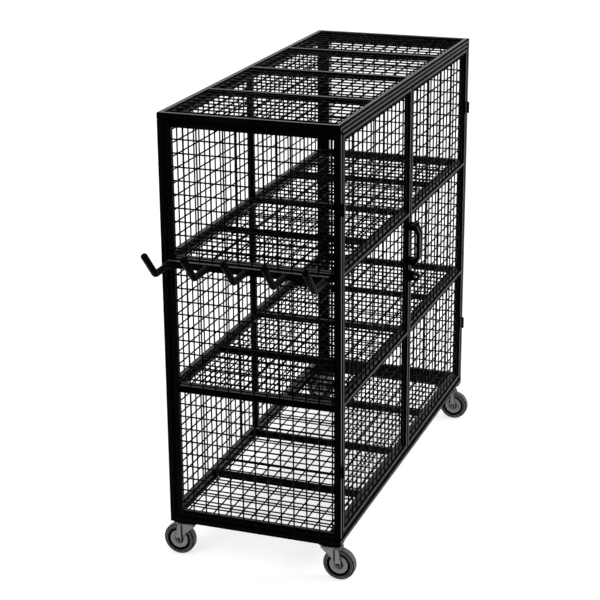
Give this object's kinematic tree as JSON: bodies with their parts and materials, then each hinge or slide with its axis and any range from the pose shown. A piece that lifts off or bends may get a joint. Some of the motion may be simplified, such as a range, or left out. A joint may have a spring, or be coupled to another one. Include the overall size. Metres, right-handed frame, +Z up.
{
  "type": "wire storage cart",
  "caption": "Lockable storage cart: a cage of black square tube and welded wire mesh with shelves, hinged mesh doors, a hook rail on one end and swivel casters.",
  "frame": {"origin": "on the floor, under the middle of the whole cart's outline", "axes": "X along the cart with the hooks at -X, the doors face -Y, +Z up"},
  "size_m": [1.9741, 0.7695, 1.7315],
  "materials": {
    "black_paint": "black powder coat, satin, slightly textured",
    "mesh_paint": "black powder coat over welded wire, satin",
    "zinc": "grey zinc plating, dull, slightly mottled",
    "wheel_grey": "moulded grey plastic, matt",
    "tyre": "grey rubber with fine ribs round the tread, matt"
  },
  "bodies": {
    "root": {"base_frame": "black_paint", "corner_pads": "black_paint", "near_end_frame": "black_paint", "far_end_frame": "black_paint", "back_frame": "black_paint", "top_frame": "black_paint", "door_header": "black_paint", "front_stop_rail": "black_paint", "lower_shelf_frame": "black_paint", "upper_shelf_frame": "black_paint", "hook_bar": "black_paint", "hooks": "black_paint", "near_end_mesh": "mesh_paint", "far_end_mesh": "mesh_paint", "back_mesh": "mesh_paint", "top_mesh": "mesh_paint", "deck_mesh": "mesh_paint", "lower_shelf_mesh": "mesh_paint", "upper_shelf_mesh": "mesh_paint", "near_post_hinges": "black_paint", "far_post_hinges": "black_paint", "near_hinge_pins": "black_paint", "far_hinge_pins": "black_paint", "caster_plates": "black_paint", "caster_plate_bolts": "zinc", "caster_king_pins": "zinc"},
    "near_door": {"near_door_frame": "black_paint", "near_door_mesh": "mesh_paint", "near_door_hinges": "black_paint", "near_handle": "black_paint", "near_handle_bolts": "zinc", "near_lug": "black_paint"},
    "far_door": {"far_door_frame": "black_paint", "far_door_mesh": "mesh_paint", "far_door_hinges": "black_paint", "far_handle": "black_paint", "far_handle_bolts": "zinc", "far_lug": "black_paint"},
    "near_back_swivel": {"near_back_fork": "zinc", "near_back_axle": "zinc"},
    "near_back_wheel": {"near_back_hub": "wheel_grey", "near_back_tyre": "tyre"},
    "near_door_swivel": {"near_door_fork": "zinc", "near_door_axle": "zinc"},
    "near_door_wheel": {"near_door_hub": "wheel_grey", "near_door_tyre": "tyre"},
    "far_back_swivel": {"far_back_fork": "zinc", "far_back_axle": "zinc"},
    "far_back_wheel": {"far_back_hub": "wheel_grey", "far_back_tyre": "tyre"},
    "far_door_swivel": {"far_door_fork": "zinc", "far_door_axle": "zinc"},
    "far_door_wheel": {"far_door_hub": "wheel_grey", "far_door_tyre": "tyre"}
  },
  "joints": [
    {"name": "near_door_swing", "type": "hinge", "parent": "root", "child": "near_door", "pos_m": [-0.727, -0.3455, 0.9415], "axis": [0, 0, -1], "range_deg": [0, 180]},
    {"name": "far_door_swing", "type": "hinge", "parent": "root", "child": "far_door", "pos_m": [0.961, -0.3455, 0.9415], "axis": [0, 0, 1], "range_deg": [0, 180]},
    {"name": "near_back_swivel_turn", "type": "hinge", "parent": "root", "child": "near_back_swivel", "pos_m": [-0.695, 0.292, 0.1315], "axis": [0, 0, 1], "continuous": true},
    {"name": "near_back_wheel_spin", "type": "hinge", "parent": "near_back_swivel", "child": "near_back_wheel", "pos_m": [-0.695, 0.322, 0.0625], "axis": [1, 0, 0], "continuous": true},
    {"name": "near_door_swivel_turn", "type": "hinge", "parent": "root", "child": "near_door_swivel", "pos_m": [-0.695, -0.292, 0.1315], "axis": [0, 0, 1], "continuous": true},
    {"name": "near_door_wheel_spin", "type": "hinge", "parent": "near_door_swivel", "child": "near_door_wheel", "pos_m": [-0.695, -0.322, 0.0625], "axis": [1, 0, 0], "continuous": true},
    {"name": "far_back_swivel_turn", "type": "hinge", "parent": "root", "child": "far_back_swivel", "pos_m": [0.929, 0.292, 0.1315], "axis": [0, 0, 1], "continuous": true},
    {"name": "far_back_wheel_spin", "type": "hinge", "parent": "far_back_swivel", "child": "far_back_wheel", "pos_m": [0.929, 0.322, 0.0625], "axis": [1, 0, 0], "continuous": true},
    {"name": "far_door_swivel_turn", "type": "hinge", "parent": "root", "child": "far_door_swivel", "pos_m": [0.929, -0.292, 0.1315], "axis": [0, 0, 1], "continuous": true},
    {"name": "far_door_wheel_spin", "type": "hinge", "parent": "far_door_swivel", "child": "far_door_wheel", "pos_m": [0.929, -0.322, 0.0625], "axis": [1, 0, 0], "continuous": true}
  ]
}
